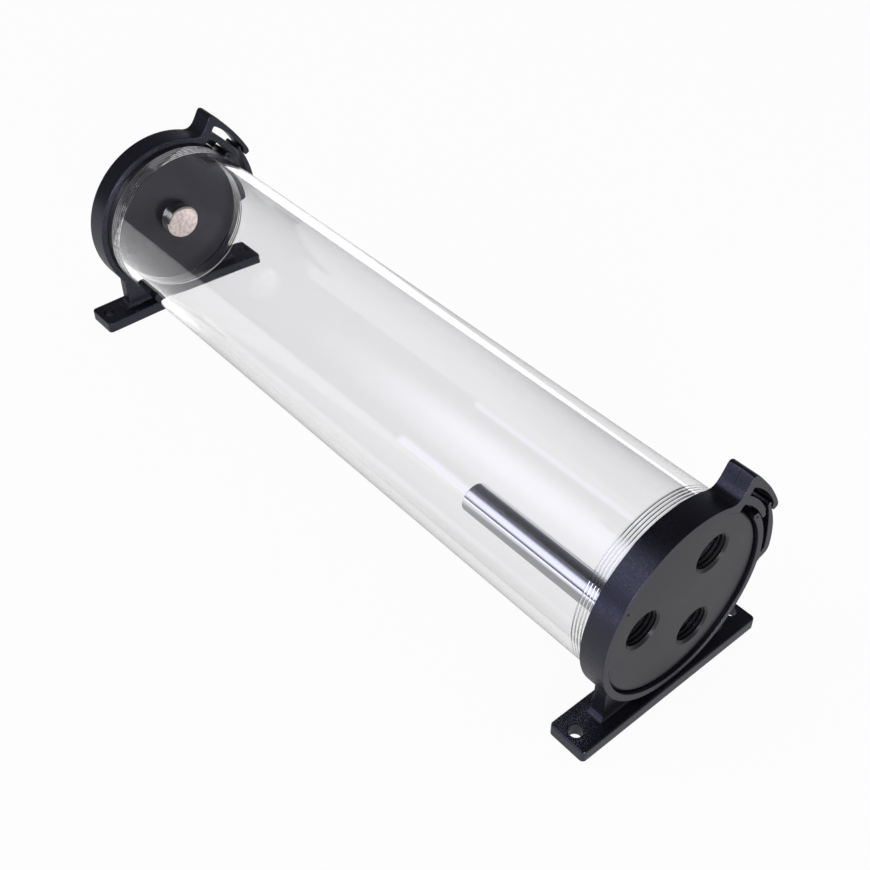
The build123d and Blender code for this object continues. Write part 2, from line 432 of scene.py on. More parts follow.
class Nodes:
    """A material's node tree, with short ways to add and link nodes."""

    def __init__(self, name: str) -> None:
        """Start a new node material.

        Args:
            name: The material's name.
        """
        self.material = bpy.data.materials.new(name)
        self.material.use_nodes = True
        self.tree = self.material.node_tree
        self.shader = self.tree.nodes["Principled BSDF"]
        self.output = self.tree.nodes["Material Output"]
        self.place = self.add("ShaderNodeTexCoord").outputs["Object"]

    def add(self, kind: str, **settings: object) -> bpy.types.Node:
        """Add a node and set its properties.

        Args:
            kind: The node's type.
            settings: Its properties by name.

        Returns:
            The node.
        """
        node = self.tree.nodes.new(kind)
        for key, value in settings.items():
            setattr(node, key, value)
        return node

    def link(self, source: bpy.types.NodeSocket, target: bpy.types.NodeSocket) -> None:
        """Join two sockets."""
        self.tree.links.new(source, target)

    def set(self, **values: object) -> None:
        """Set the shader's own sockets, named with underscores for spaces."""
        for key, value in values.items():
            self.shader.inputs[key.replace("_", " ")].default_value = value

    def noise(self, scale: float, detail: float = 4.0, stretch: Point = (1, 1, 1)) -> bpy.types.NodeSocket:
        """Noise on Object coordinates.

        Args:
            scale: Cells per metre.
            detail: Number of finer layers.
            stretch: Scale of the three axes.

        Returns:
            The noise's value.
        """
        mapping = self.add("ShaderNodeMapping")
        mapping.inputs["Scale"].default_value = stretch
        self.link(self.place, mapping.inputs["Vector"])
        noise = self.add("ShaderNodeTexNoise")
        noise.inputs["Scale"].default_value = scale
        noise.inputs["Detail"].default_value = detail
        self.link(mapping.outputs["Vector"], noise.inputs["Vector"])
        return noise.outputs["Fac"]

    def spread(
        self, value: bpy.types.NodeSocket, low: float, high: float, start: float = 0.3, stop: float = 0.7
    ) -> bpy.types.NodeSocket:
        """Map a value from one range to another.

        Args:
            value: The value.
            low: Result at the range's start.
            high: Result at its end.
            start: Start of the value's range.
            stop: End of the value's range.

        Returns:
            The mapped value.
        """
        node = self.add("ShaderNodeMapRange")
        node.inputs["From Min"].default_value = start
        node.inputs["From Max"].default_value = stop
        node.inputs["To Min"].default_value = low
        node.inputs["To Max"].default_value = high
        self.link(value, node.inputs["Value"])
        return node.outputs["Result"]

    def tones(self, value: bpy.types.NodeSocket, dark: Point, light: Point) -> None:
        """Colour the shader between two tones by a value.

        Args:
            value: The value, from 0.3 to 0.7.
            dark: Colour at its low end.
            light: Colour at its high end.
        """
        ramp = self.add("ShaderNodeValToRGB")
        ramp.color_ramp.elements[0].position = 0.3
        ramp.color_ramp.elements[0].color = (*dark, 1)
        ramp.color_ramp.elements[1].position = 0.7
        ramp.color_ramp.elements[1].color = (*light, 1)
        self.link(value, ramp.inputs["Fac"])
        self.link(ramp.outputs["Color"], self.shader.inputs["Base Color"])

    def bump(self, height: bpy.types.NodeSocket, strength: float, distance: float) -> None:
        """Add a bump, on top of any that is there.

        Args:
            height: The height's value.
            strength: From 0 to 1.
            distance: Depth in metres.
        """
        node = self.add("ShaderNodeBump")
        node.inputs["Strength"].default_value = strength
        node.inputs["Distance"].default_value = distance
        self.link(height, node.inputs["Height"])
        links = self.shader.inputs["Normal"].links
        if links:
            self.link(links[0].from_socket, node.inputs["Normal"])
        self.link(node.outputs["Normal"], self.shader.inputs["Normal"])


@dataclass(frozen=True)
class MouldedNylon:
    """Black moulded nylon with a fine spark-eroded grain and a violet cast in its gloss."""

    dark: Point = (0.003, 0.003, 0.0035)
    light: Point = (0.0065, 0.0065, 0.0075)
    cast: Point = (0.74, 0.75, 1.0)
    roughness: float = 0.40

    def build(self) -> bpy.types.Material:
        """Make the material."""
        nodes = Nodes("black_nylon")
        nodes.set(
            Roughness=self.roughness, IOR=1.6, Specular_IOR_Level=0.75, Specular_Tint=(*self.cast, 1)
        )
        cloud = nodes.noise(90.0, 3.0)
        nodes.tones(cloud, self.dark, self.light)
        grain = nodes.noise(1500.0, 3.0)
        nodes.link(nodes.spread(grain, 0.24, 0.42), nodes.shader.inputs["Roughness"])
        nodes.bump(grain, 0.4, 0.00010)
        nodes.bump(cloud, 0.10, 0.0002)
        return nodes.material


@dataclass(frozen=True)
class TurnedAcetal:
    """Black acetal faced on a lathe: fine rings round the tank axis and a satin gloss."""

    dark: Point = (0.011, 0.010, 0.014)
    light: Point = (0.024, 0.023, 0.025)
    cast: Point = (0.93, 0.91, 1.0)
    roughness: float = 0.30
    rings: float = 5200.0

    def build(self) -> bpy.types.Material:
        """Make the material."""
        nodes = Nodes("black_acetal")
        nodes.set(Roughness=self.roughness, IOR=1.48, Specular_Tint=(*self.cast, 1))
        centred = nodes.add("ShaderNodeMapping")
        centred.inputs["Location"].default_value = (0, 0, -AXIS_HEIGHT * MM)
        centred.inputs["Scale"].default_value = (0, 1, 1)
        nodes.link(nodes.place, centred.inputs["Vector"])
        rings = nodes.add("ShaderNodeTexWave", wave_type="RINGS", rings_direction="X")
        rings.inputs["Scale"].default_value = self.rings / 20
        rings.inputs["Distortion"].default_value = 0.6
        rings.inputs["Detail"].default_value = 2.0
        rings.inputs["Detail Scale"].default_value = 1.5
        nodes.link(centred.outputs["Vector"], rings.inputs["Vector"])
        cloud = nodes.noise(60.0, 4.0)
        nodes.tones(nodes.noise(35.0, 3.0), self.dark, self.light)
        nodes.link(nodes.spread(cloud, 0.26, 0.33, 0.2, 0.8), nodes.shader.inputs["Roughness"])
        nodes.bump(rings.outputs["Fac"], 0.12, 0.00002)
        nodes.bump(nodes.noise(900.0, 3.0), 0.05, 0.00003)
        return nodes.material


@dataclass(frozen=True)
class ClearAcrylic:
    """Polished clear acrylic that lets lamp light through to what it holds."""

    tint: Point = (0.960, 0.959, 0.966)
    roughness: float = 0.012
    bend: float = 1.49

    def build(self) -> bpy.types.Material:
        """Make the material."""
        nodes = Nodes("clear_acrylic")
        nodes.set(Base_Color=(*self.tint, 1), Roughness=self.roughness, IOR=self.bend, Transmission_Weight=1.0)
        streaks = nodes.noise(160.0, 3.0, (0.04, 1, 1))
        nodes.link(nodes.spread(streaks, 0.006, 0.03), nodes.shader.inputs["Roughness"])
        clear = nodes.add("ShaderNodeBsdfTransparent")
        clear.inputs["Color"].default_value = (0.93, 0.935, 0.95, 1)
        mix = nodes.add("ShaderNodeMixShader")
        path = nodes.add("ShaderNodeLightPath")
        nodes.link(path.outputs["Is Shadow Ray"], mix.inputs["Fac"])
        nodes.link(nodes.shader.outputs["BSDF"], mix.inputs[1])
        nodes.link(clear.outputs["BSDF"], mix.inputs[2])
        nodes.link(mix.outputs["Shader"], nodes.output.inputs["Surface"])
        return nodes.material


@dataclass(frozen=True)
class PolishedMetal:
    """Plated tube metal with fine drawing lines along it."""

    tone: Point = (0.80, 0.81, 0.84)
    roughness: float = 0.09

    def build(self) -> bpy.types.Material:
        """Make the material."""
        nodes = Nodes("polished_metal")
        nodes.set(Base_Color=(*self.tone, 1), Metallic=1.0, Roughness=self.roughness)
        drawn = nodes.noise(900.0, 3.0, (0.02, 1, 1))
        nodes.link(nodes.spread(drawn, 0.06, 0.14), nodes.shader.inputs["Roughness"])
        nodes.bump(drawn, 0.06, 0.00002)
        return nodes.material


@dataclass(frozen=True)
class BlackPlating:
    """Glossy black plating over brass, with a little unevenness."""

    dark: Point = (0.008, 0.008, 0.010)
    light: Point = (0.016, 0.016, 0.019)
    roughness: float = 0.2

    def build(self) -> bpy.types.Material:
        """Make the material."""
        nodes = Nodes("black_plated")
        nodes.set(Roughness=self.roughness, IOR=1.6, Coat_Weight=0.4, Coat_Roughness=0.08)
        cloud = nodes.noise(400.0, 4.0)
        nodes.tones(cloud, self.dark, self.light)
        nodes.link(nodes.spread(cloud, 0.16, 0.27), nodes.shader.inputs["Roughness"])
        nodes.bump(nodes.noise(1500.0, 2.0), 0.05, 0.00003)
        return nodes.material


@dataclass(frozen=True)
class BareMetal:
    """Sawn bare end of the plug: silver with a faint pink mottle."""

    dark: Point = (0.52, 0.42, 0.37)
    light: Point = (0.90, 0.80, 0.75)
    roughness: float = 0.34

    def build(self) -> bpy.types.Material:
        """Make the material."""
        nodes = Nodes("bare_metal")
        nodes.set(Metallic=0.9, Roughness=self.roughness)
        mottle = nodes.noise(700.0, 5.0)
        nodes.tones(mottle, self.dark, self.light)
        nodes.bump(mottle, 0.2, 0.00005)
        return nodes.material


@dataclass(frozen=True)
class SealRubber:
    """Black seal rubber with a faint bloom."""

    dark: Point = (0.009, 0.009, 0.009)
    light: Point = (0.022, 0.022, 0.023)
    roughness: float = 0.55

    def build(self) -> bpy.types.Material:
        """Make the material."""
        nodes = Nodes("seal_rubber")
        nodes.set(Roughness=self.roughness, IOR=1.5)
        bloom = nodes.noise(500.0, 4.0)
        nodes.tones(bloom, self.dark, self.light)
        nodes.bump(nodes.noise(3000.0, 2.0), 0.1, 0.00003)
        return nodes.material


# ---------------------------------------------------------------- pieces


AXIS: Point = (0.0, 0.0, AXIS_HEIGHT * MM)
TUBE_THREAD_CUT = Thread(pitch=1.1, minor=26.8, major=27.45, crest_share=0.26, steps=160)
CAP_THREAD = Thread(pitch=1.1, minor=26.9, major=27.38, crest_share=0.18, steps=160)
PORT_THREAD_CUT = Thread(pitch=1.337, minor=5.5, major=6.58, crest_share=0.2, steps=72)
PORT_THREAD = Thread(pitch=1.337, minor=5.6, major=6.45, crest_share=0.1, steps=72)


@dataclass
class Tube:
    """The clear tube, with a screw thread inside each end."""

    length: float = 259.5
    radius: float = 30.0
    bore: float = 27.0
    edge_break: float = 0.35
    thread_depth: float = 11.4
    steps: int = 360

    def build(self, finish: bpy.types.Material) -> bpy.types.Object:
        """Model the tube.

        Args:
            finish: Its material.

        Returns:
            The finished piece.
        """
        half = self.length / 2
        b = self.edge_break
        outline = [
            (-half, self.bore + 1.0),
            (-half, self.radius - b),
            (-half + b * 0.3, self.radius - b * 0.3),
            (-half + b, self.radius),
            (half - b, self.radius),
            (half - b * 0.3, self.radius - b * 0.3),
            (half, self.radius - b),
            (half, self.bore + 1.0),
            (half - 0.9, self.bore),
            (-half + 0.9, self.bore),
        ]
        tube = Bench.turned("clear_tube", outline, self.steps, AXIS)
        for end in End:
            near = end.value * (half - self.thread_depth)
            far = end.value * (half + 1.5)
            tap = TUBE_THREAD_CUT.rod("tube_tap", min(near, far), max(near, far), AXIS)
            Bench.combine(tube, tap, Cut.DIFFERENCE)
        Bench.smooth(tube, 8.0, weighted=False)
        return Bench.dress(tube, "tank", "reservoir_tube", "clear_acrylic", [finish])


@dataclass
class CapBlank:
    """What the two caps share: a flange, a seal groove and a screw thread."""

    tube_length: float = 259.5
    flange: float = 3.25
    radius: float = 30.0
    bevel: float = 1.2
    screw_length: float = 5.5
    groove_width: float = 2.2
    groove_radius: float = 25.85
    steps: int = 160

    @property
    def face(self) -> float:
        """Distance of the outer face from the tank's middle."""
        return self.tube_length / 2 + self.flange

    @property
    def inner_face(self) -> float:
        """Distance of the inner face from the tank's middle."""
        return self.tube_length / 2 - self.screw_length

    def blank(self, name: str, end: End) -> bpy.types.Object:
        """Turn the cap and cut its thread.

        Args:
            name: Name of the new object.
            end: The end that it closes.

        Returns:
            The cap without ports.
        """
        half = self.tube_length / 2
        s = end.value
        b = self.bevel
        outline = [
            (s * (self.face - 0.04), 0.0),
            (s * (self.face - 0.04), 0.7),
            (s * self.face, 1.1),
        ]
        first = math.radians(12.0)
        for i in range(7):
            a = first + (math.pi / 2 - first) * i / 6
            outline.append((s * (self.face - b * (math.cos(first) - math.cos(a))), self.radius - b + b * math.sin(a)))
        outline += [
            (s * half, self.radius),
            (s * half, self.groove_radius),
            (s * (half - self.groove_width - 1.0), self.groove_radius),
            (s * (half - self.groove_width - 1.0), 0.0),
        ]
        cap = Bench.turned(name, outline, self.steps, AXIS)
        ends = sorted((s * self.inner_face, s * (half - self.groove_width)))
        screw = CAP_THREAD.rod(name + "_screw", ends[0], ends[1], AXIS)
        return Bench.combine(cap, screw, Cut.UNION)

    def port_cutter(self, end: End, centre: Point, mouth: float) -> bpy.types.Object:
        """Make the cutter of one threaded port: a drill with a bevelled mouth, and a tap.

        Args:
            end: The end that the cap closes.
            centre: A point on the port's axis, in metres.
            mouth: Radius of the bevel at its mouth.

        Returns:
            The cutter.
        """
        s = end.value
        hole = 5.75
        outline = [
            (s * (self.face + 1.0), 0.0),
            (s * (self.face + 1.0), mouth + 0.02),
            (s * (self.face + 0.001), mouth),
            (s * (self.face - (mouth - hole) * 0.9), hole),
            (s * (self.inner_face - 1.0), hole),
            (s * (self.inner_face - 1.0), 0.0),
        ]
        drill = Bench.turned("port_drill", outline, 80, centre)
        ends = sorted((s * (self.inner_face - 0.9), s * (self.face - 0.55)))
        tap = PORT_THREAD_CUT.rod("port_tap", ends[0], ends[1], centre)
        return Bench.combine(drill, tap, Cut.UNION)


@dataclass
class PortCap(CapBlank):
    """The cap with three threaded ports and the standpipe screwed into one of them."""

    port_circle: float = 16.4
    port_angles: tuple[float, ...] = (54.5, 174.5, 294.5)
    mouth: float = 6.68
    witness_angle: float = 150.0
    witness_circle: float = 27.4

    def centre(self, degrees: float) -> Point:
        """Point on a port's axis, in metres."""
        point = tank_point(0.0, self.port_circle, degrees)
        return (0.0, point[1], point[2])

    def build(self, finish: bpy.types.Material) -> bpy.types.Object:
        """Model the port cap.

        Args:
            finish: Its material.

        Returns:
            The finished piece.
        """
        cap = self.blank("three_port_cap", End.PORT)
        cutters = [self.port_cutter(End.PORT, self.centre(a), self.mouth) for a in self.port_angles]
        spot = tank_point(0.0, self.witness_circle, self.witness_angle)
        pin = Bench.turned(
            "witness_drill",
            [(self.face - 1.0, 0.0), (self.face - 0.8, 0.45), (self.face + 1, 0.45), (self.face + 1, 0.0)],
            24,
            (0.0, spot[1], spot[2]),
        )
        Bench.combine(cap, Bench.joined([*cutters, pin]), Cut.DIFFERENCE)
        Bench.smooth(cap, 15.0)
        return Bench.dress(cap, "port_cap", "port_cap", "black_acetal", [finish])

    def standpipe(self, finish: bpy.types.Material) -> bpy.types.Object:
        """Model the polished pipe that stands inside the tank behind the second port.

        Args:
            finish: Its material.

        Returns:
            The finished piece.
        """
        tip = self.inner_face - 57.7
        inner, outer = 3.75, 4.75
        outline = [
            (self.inner_face + 1.5, inner),
            (self.inner_face + 1.5, 5.0),
            (self.inner_face, 5.0),
            (self.inner_face, 6.4),
            (self.inner_face - 0.15, 6.5),
            (self.inner_face - 0.85, 6.5),
            (self.inner_face - 1.0, 6.35),
            (self.inner_face - 1.0, outer + 0.3),
            (self.inner_face - 1.3, outer),
            (tip + 0.25, outer),
            (tip + 0.07, outer - 0.08),
            (tip, outer - 0.25),
            (tip, inner + 0.25),
            (tip + 0.25, inner),
        ]
        centre = self.centre(self.port_angles[1])
        pipe = Bench.turned("standpipe_tube", outline, 72, centre)
        foot = PORT_THREAD.rod("pipe_foot", self.inner_face + 0.02, self.inner_face + 3.5, centre)
        drill = Bench.turned(
            "pipe_drill",
            [
                (self.inner_face - 0.5, 0.0),
                (self.inner_face - 0.5, inner),
                (self.inner_face + 4.5, inner),
                (self.inner_face + 4.5, 0.0),
            ],
            72,
            centre,
        )
        Bench.combine(foot, drill, Cut.DIFFERENCE)
        Bench.combine(pipe, foot, Cut.UNION)
        Bench.smooth(pipe, 30.0)
        return Bench.dress(pipe, "port_cap", "standpipe", "polished_metal", [finish])


@dataclass
class FillCap(CapBlank):
    """The cap at the far end, with one port in its centre that a plug fills."""

    plug_reach: float = 5.75
    head_radius: float = 9.0
    head_height: float = 3.0
    socket_flats: float = 6.0

    def build(self, finish: bpy.types.Material) -> bpy.types.Object:
        """Model the fill cap.

        Args:
            finish: Its material.

        Returns:
            The finished piece.
        """
        cap = self.blank("centre_port_cap", End.FILL)
        Bench.combine(cap, self.port_cutter(End.FILL, AXIS, 6.75), Cut.DIFFERENCE)
        Bench.smooth(cap, 15.0)
        return Bench.dress(cap, "fill_cap", "fill_cap", "black_acetal", [finish])

    def plug(self, plating: bpy.types.Material, bare: bpy.types.Material) -> bpy.types.Object:
        """Model the plug that is screwed through the fill cap.

        Args:
            plating: Material of its outside.
            bare: Material of its sawn end.

        Returns:
            The finished piece.
        """
        seat = self.face
        tip = self.inner_face - self.plug_reach
        r, h = self.head_radius, self.head_height
        outline = [
            (-(seat + h), 0.0),
            (-(seat + h), r - 0.8),
            (-(seat + h - 0.1), r - 0.4),
            (-(seat + h - 0.4), r - 0.1),
            (-(seat + h - 0.8), r),
            (-(seat + 0.35), r),
            (-(seat + 0.15), r - 0.2),
            (-(seat + 0.15), 8.55),
            (-(seat + 1.5), 8.55),
            (-(seat + 1.5), 5.2),
            (-(seat - 2.0), 5.2),
            (-(seat - 2.0), 0.0),
        ]
        plug = Bench.turned("fill_plug_screw", outline, 96, AXIS)
        post = PORT_THREAD.rod("plug_post", -(seat - 0.9), -tip, AXIS)
        Bench.combine(plug, post, Cut.UNION)
        end_bevel = Bench.turned(
            "post_trim",
            [
                (-(seat + 8.0), 0.0),
                (-(seat + 8.0), 12.0),
                (-(tip + 1.0), 12.0),
                (-(tip + 1.0), 6.9),
                (-tip, 5.9),
                (-tip + 0.001, 0.0),
            ],
            96,
            AXIS,
        )
        Bench.combine(plug, end_bevel, Cut.INTERSECT)
        bpy.ops.object.select_all(action="DESELECT")
        bpy.ops.mesh.primitive_cylinder_add(
            vertices=6,
            radius=self.socket_flats / math.sqrt(3) * MM,
            depth=4.5 * 2 * MM,
            location=((TANK_X - seat - h) * MM, 0, AXIS_HEIGHT * MM),
            rotation=(0, math.pi / 2, 0),
        )
        socket = bpy.context.object
        Bench.place(socket)
        Bench.combine(plug, socket, Cut.DIFFERENCE)
        plug.data.materials.append(plating)
        plug.data.materials.append(bare)
        end_x = (TANK_X - tip) * MM
        for face in plug.data.polygons:
            if face.center.x > end_x - 0.0012 and face.normal.x > 0.3:
                face.material_index = 1
        Bench.smooth(plug, 30.0)
        return Bench.dress(plug, "fill_plug", "fill_plug", "black_plated", [plating, bare])


@dataclass
class Seal:
    """A round rubber seal with the faint flash lines of its mould."""

    name: str
    body: str
    node: str
    x: float
    radius: float
    section: float
    squeeze: float = 0.0
    steps: int = 128

    def build(self, finish: bpy.types.Material) -> bpy.types.Object:
        """Model the seal.

        Args:
            finish: Its material.

        Returns:
            The finished piece.
        """
        r = self.section / 2
        outline: list[Polar] = []
        for i in range(20):
            a = 2 * math.pi * i / 20
            flash = 0.03 if i in (0, 10) else 0.0
            outline.append(
                (self.x + r * (1 - self.squeeze) * math.sin(a), self.radius + (r + flash - 0.03) * math.cos(a))
            )
        seal = Bench.turned(self.name, outline, self.steps, AXIS)
        Bench.smooth(seal, 40.0)
        return Bench.dress(seal, self.body, self.node, "seal_rubber", [finish])


@dataclass
class SnapHolder:
    """One holder: foot, web and ring, with the strap that snaps over the tank."""

    end: End
    ring_centre: float = 129.7
    ring_inner: float = 30.1
    ring_outer: float = 32.4
    ring_width: float = 8.7
    rim_round: float = 0.24
    foot_size: Point = (13.6, 74.6, 4.4)
    foot_corner: float = 1.4
    foot_round: float = 0.7
    hole_radius: float = 2.15
    hole_span: float = 67.0
    web_thickness: float = 4.6
    web_span: float = 50.0
    web_flare: float = 2.5
    fillet_run: float = 0.8
    steps: dict[str, int] = field(default_factory=lambda: {"ring": 90, "finger": 12})

    @property
    def foot_x(self) -> float:
        """Middle of the foot along X, from the frame's origin."""
        return self.end.value * self.ring_centre

    @property
    def ring_back(self) -> float:
        """Lower x of the ring, counted from the tank's middle."""
        return self.foot_x - self.ring_width / 2

    def cradle_outline(self) -> list[Polar]:
        """Outline of the fixed ring, its inner finger and the catch arm."""
        ri, ro = self.ring_inner, self.ring_outer
        points = sweep((ri, 180.0), (ri, 394.0), self.steps["ring"])
        points += [(30.35, 395.6), (30.9, 396.4), (31.6, 396.3), (32.2, 395.4)]
        points += sweep((ro, 393.8), (ro + 0.1, 358.6), 14)
        points += [(32.75, 357.4), (33.3, 357.0), (33.8, 357.8)]
        points += sweep((33.95, 359.4), (34.15, 371.0), 6)
        points += sweep((34.4, 376.0), (35.55, 389.0), 6)
        points += [(35.75, 390.9), (36.1, 391.5), (36.8, 391.6), (37.15, 391.0), (37.2, 389.7), (36.75, 389.0)]
        points += sweep((36.6, 386.5), (36.55, 361.0), 12)
        points += [(36.5, 357.5), (36.2, 355.7), (35.5, 354.4), (34.2, 353.2), (33.0, 352.2)]
        points += sweep((ro, 350.6), (ro, 180.0), 70)
        return points

    def strap_outline(self) -> list[Polar]:
        """Outline of the moving ring, its middle finger, roof and thumb tab."""
        ri, ro = self.ring_inner, self.ring_outer
        points = sweep((ro, 180.0), (ro, 67.8), 46)
        points += [(32.52, 66.2), (32.85, 64.6), (33.4, 63.2), (34.2, 62.1), (35.2, 61.4), (36.6, 61.0)]
        points += [(38.6, 60.8), (40.5, 60.7), (41.3, 60.4), (41.66, 59.8), (41.85, 58.9)]
        points += [(41.8, 57.6), (41.35, 55.2), (40.75, 51.5), (40.3, 48.0), (39.95, 44.0), (39.7, 40.0)]
        points += [(39.5, 36.0), (39.4, 32.0), (39.38, 28.0), (39.35, 25.4), (39.15, 23.9), (38.7, 23.2)]
        points += [(37.5, 23.1), (37.0, 23.5), (36.9, 24.4), (36.95, 26.6), (37.3, 27.3), (37.75, 28.2)]
        points += sweep((37.85, 30.0), (38.1, 53.2), 10)
        points += [(38.05, 54.7), (37.9, 55.3), (37.5, 55.5), (36.0, 55.5), (35.55, 55.3), (35.4, 54.7)]
        points += sweep((35.35, 52.0), (34.7, 31.0), 10)
        points += [(34.5, 29.6), (34.2, 29.2), (34.2, 27.4), (34.1, 26.4), (33.6, 26.0)]
        points += [(33.1, 26.0), (32.75, 26.5), (32.66, 27.6)]
        points += sweep((32.65, 30.0), (32.65, 53.6), 12)
        points += [(32.6, 54.8), (32.3, 55.6), (31.6, 55.9), (30.8, 55.9), (30.2, 56.3)]
        points += sweep((ri, 57.4), (ri, 180.0), 52)
        return points

    def slab(self, name: str, outline: Sequence[Polar]) -> bpy.types.Object:
        """Fill an outline, give it the ring's width and round its rims.

        Args:
            name: Name of the new object.
            outline: The outline's radii and angles.

        Returns:
            The solid.
        """
        obj = Bench.line(name, [tank_point(self.ring_back - TANK_X + TANK_X, r, a) for r, a in outline])
        bpy.ops.mesh.select_all(action="SELECT")
        bpy.ops.mesh.edge_face_add()
        bpy.ops.mesh.select_all(action="SELECT")
        bpy.ops.mesh.extrude_region_move(TRANSFORM_OT_translate={"value": (self.ring_width * MM, 0, 0)})
        Bench.tidy(obj)
        Bench.edit(obj, "EDGE")
        axis_z = AXIS_HEIGHT * MM

        def on_rim(a: Vector, b: Vector) -> bool:
            """Take the edges round both flat sides, apart from those at the hinge line."""
            flat = abs(a.x - b.x) < 1e-7
            split = a.y < 0 and abs(a.z - axis_z) < 1e-6 and abs(b.z - axis_z) < 1e-6
            return flat and not split

        Bench.pick_edges(obj, on_rim)
        bpy.ops.mesh.bevel(offset=self.rim_round * MM, segments=3, profile=0.5, clamp_overlap=False)
        Bench.tidy(obj, 1e-6)
        return obj

    def foot(self) -> bpy.types.Object:
        """Model the foot plate with its rounded edges and two screw holes."""
        bpy.ops.object.select_all(action="DESELECT")
        sx, sy, sz = self.foot_size
        bpy.ops.mesh.primitive_cube_add(size=1, location=(self.foot_x * MM, 0, sz / 2 * MM), scale=(sx * MM, sy * MM, sz * MM))
        plate = bpy.context.object
        plate.name = "foot_plate"
        Bench.place(plate)
        Bench.edit(plate, "EDGE")
        Bench.pick_edges(plate, lambda a, b: abs(a.z - b.z) > 0.001)
        bpy.ops.mesh.bevel(offset=self.foot_corner * MM, segments=6, profile=0.5)
        top = sz * MM - 1e-6
        Bench.pick_edges(plate, lambda a, b: a.z > top and b.z > top)
        bpy.ops.mesh.bevel(offset=self.foot_round * MM, segments=4, profile=0.5)
        Bench.pick_edges(plate, lambda a, b: a.z < 1e-6 and b.z < 1e-6)
        bpy.ops.mesh.bevel(offset=0.2 * MM, segments=2, profile=0.5)
        Bench.tidy(plate, 1e-6)
        for side in (1, -1):
            drill = self.screw_drill(side)
            Bench.combine(plate, drill, Cut.DIFFERENCE)
        return plate

    def screw_drill(self, side: int) -> bpy.types.Object:
        """Model the cutter of one screw hole, wider at the plate's top."""
        bpy.ops.object.select_all(action="DESELECT")
        height = self.foot_size[2]
        bpy.ops.mesh.primitive_cylinder_add(
            vertices=48,
            radius=self.hole_radius * MM,
            depth=height * 3 * MM,
            location=(self.foot_x * MM, side * self.hole_span / 2 * MM, height * 0.5 * MM),
        )
        drill = bpy.context.object
        Bench.place(drill)
        Bench.edit(drill, "FACE")
        Bench.pick_faces(drill, lambda c, n: n.z > 0.9)
        bpy.ops.transform.translate(value=(0, 0, -(height - 0.25) * MM))
        bpy.ops.mesh.extrude_region_move(TRANSFORM_OT_translate={"value": (0, 0, 0.26 * MM)})
        bpy.ops.transform.resize(value=(1.12, 1.12, 1))
        bpy.ops.mesh.extrude_region_move(TRANSFORM_OT_translate={"value": (0, 0, 3 * MM)})
        Bench.close_edit()
        return drill

    def web(self) -> bpy.types.Object:
        """Model the upright web, which flares into the foot, by drawing it up in steps."""
        bpy.ops.object.select_all(action="DESELECT")
        top = self.foot_size[2]
        wide = self.web_span + 2 * self.web_flare
        thick = self.web_thickness + 2 * self.fillet_run
        bpy.ops.mesh.primitive_plane_add(size=1, location=(self.foot_x * MM, 0, (top - 1.0) * MM))
        web = bpy.context.object
        web.name = "web_plate"
        web.scale = (thick * MM, wide * MM, 1)
        Bench.place(web)
        Bench.edit(web, "EDGE")
        bpy.ops.mesh.select_all(action="SELECT")
        centre = (self.foot_x * MM, 0, top * MM)
        x_now, y_now = thick, wide
        bpy.ops.mesh.extrude_region_move(TRANSFORM_OT_translate={"value": (0, 0, 1.0 * MM)})
        for i in range(1, 9):
            a = math.pi / 2 * i / 8
            x_new = thick - 2 * self.fillet_run * math.sin(a)
            y_new = wide - 2 * self.web_flare * math.sin(a)
            rise = self.web_flare * ((1 - math.cos(a)) - (1 - math.cos(math.pi / 2 * (i - 1) / 8)))
            bpy.ops.mesh.extrude_region_move(TRANSFORM_OT_translate={"value": (0, 0, rise * MM)})
            bpy.ops.transform.resize(value=(x_new / x_now, y_new / y_now, 1), center_override=centre)
            x_now, y_now = x_new, y_new
        rise = AXIS_HEIGHT - 31.2 * math.sin(math.radians(38.0)) - top - self.web_flare
        bpy.ops.mesh.extrude_region_move(TRANSFORM_OT_translate={"value": (0, 0, rise * MM)})
        Bench.tidy(web)
        hollow = Bench.turned(
            "web_hollow",
            [(self.foot_x - TANK_X - 20, 0.0), (self.foot_x - TANK_X - 20, 31.2), (self.foot_x - TANK_X + 20, 31.2), (self.foot_x - TANK_X + 20, 0.0)],
            144,
            AXIS,
        )
        Bench.combine(web, hollow, Cut.DIFFERENCE)
        Bench.edit(web, "EDGE")
        low = (top + self.web_flare) * MM

        def corner(a: Vector, b: Vector) -> bool:
            """Take the four upright corners of the web."""
            return abs(a.x - b.x) < 1e-7 and abs(a.y - b.y) < 1e-7 and max(a.z, b.z) > low + 0.001

        Bench.pick_edges(web, corner)
        bpy.ops.mesh.bevel(offset=0.4 * MM, segments=3, profile=0.5)
        Bench.tidy(web, 1e-6)
        return web

    def build_cradle(self, finish: bpy.types.Material) -> bpy.types.Object:
        """Model the fixed side of the holder.

        Args:
            finish: Its material.

        Returns:
            The finished piece.
        """
        cradle = self.slab(f"{self.end.prefix}_cradle_body", self.cradle_outline())
        Bench.combine(cradle, self.web(), Cut.UNION)
        Bench.combine(cradle, self.foot(), Cut.UNION)
        eye = tank_point(0.0, 31.25, 32.8)
        back = self.ring_back + TANK_X - TANK_X
        drill = Bench.turned(
            "finger_eye",
            [(back - 1, 0.0), (back - 1, 0.42), (back + self.ring_width + 1, 0.42), (back + self.ring_width + 1, 0.0)],
            20,
            (0.0, eye[1], eye[2]),
        )
        Bench.combine(cradle, drill, Cut.DIFFERENCE)
        Bench.smooth(cradle, 35.0)
        return Bench.dress(cradle, "holders", f"{self.end.prefix}_cradle", "black_nylon", [finish])

    def slot_wall(self) -> bpy.types.Object:
        """Model the thin wall at the strap's back that closes the slot between the ring ends."""
        outline = sweep((self.ring_inner, 37.2), (self.ring_inner, 58.0), 12)
        outline += sweep((32.8, 58.0), (32.8, 37.2), 12)
        return self.prism("slot_wall", outline, 0.0, 1.2)

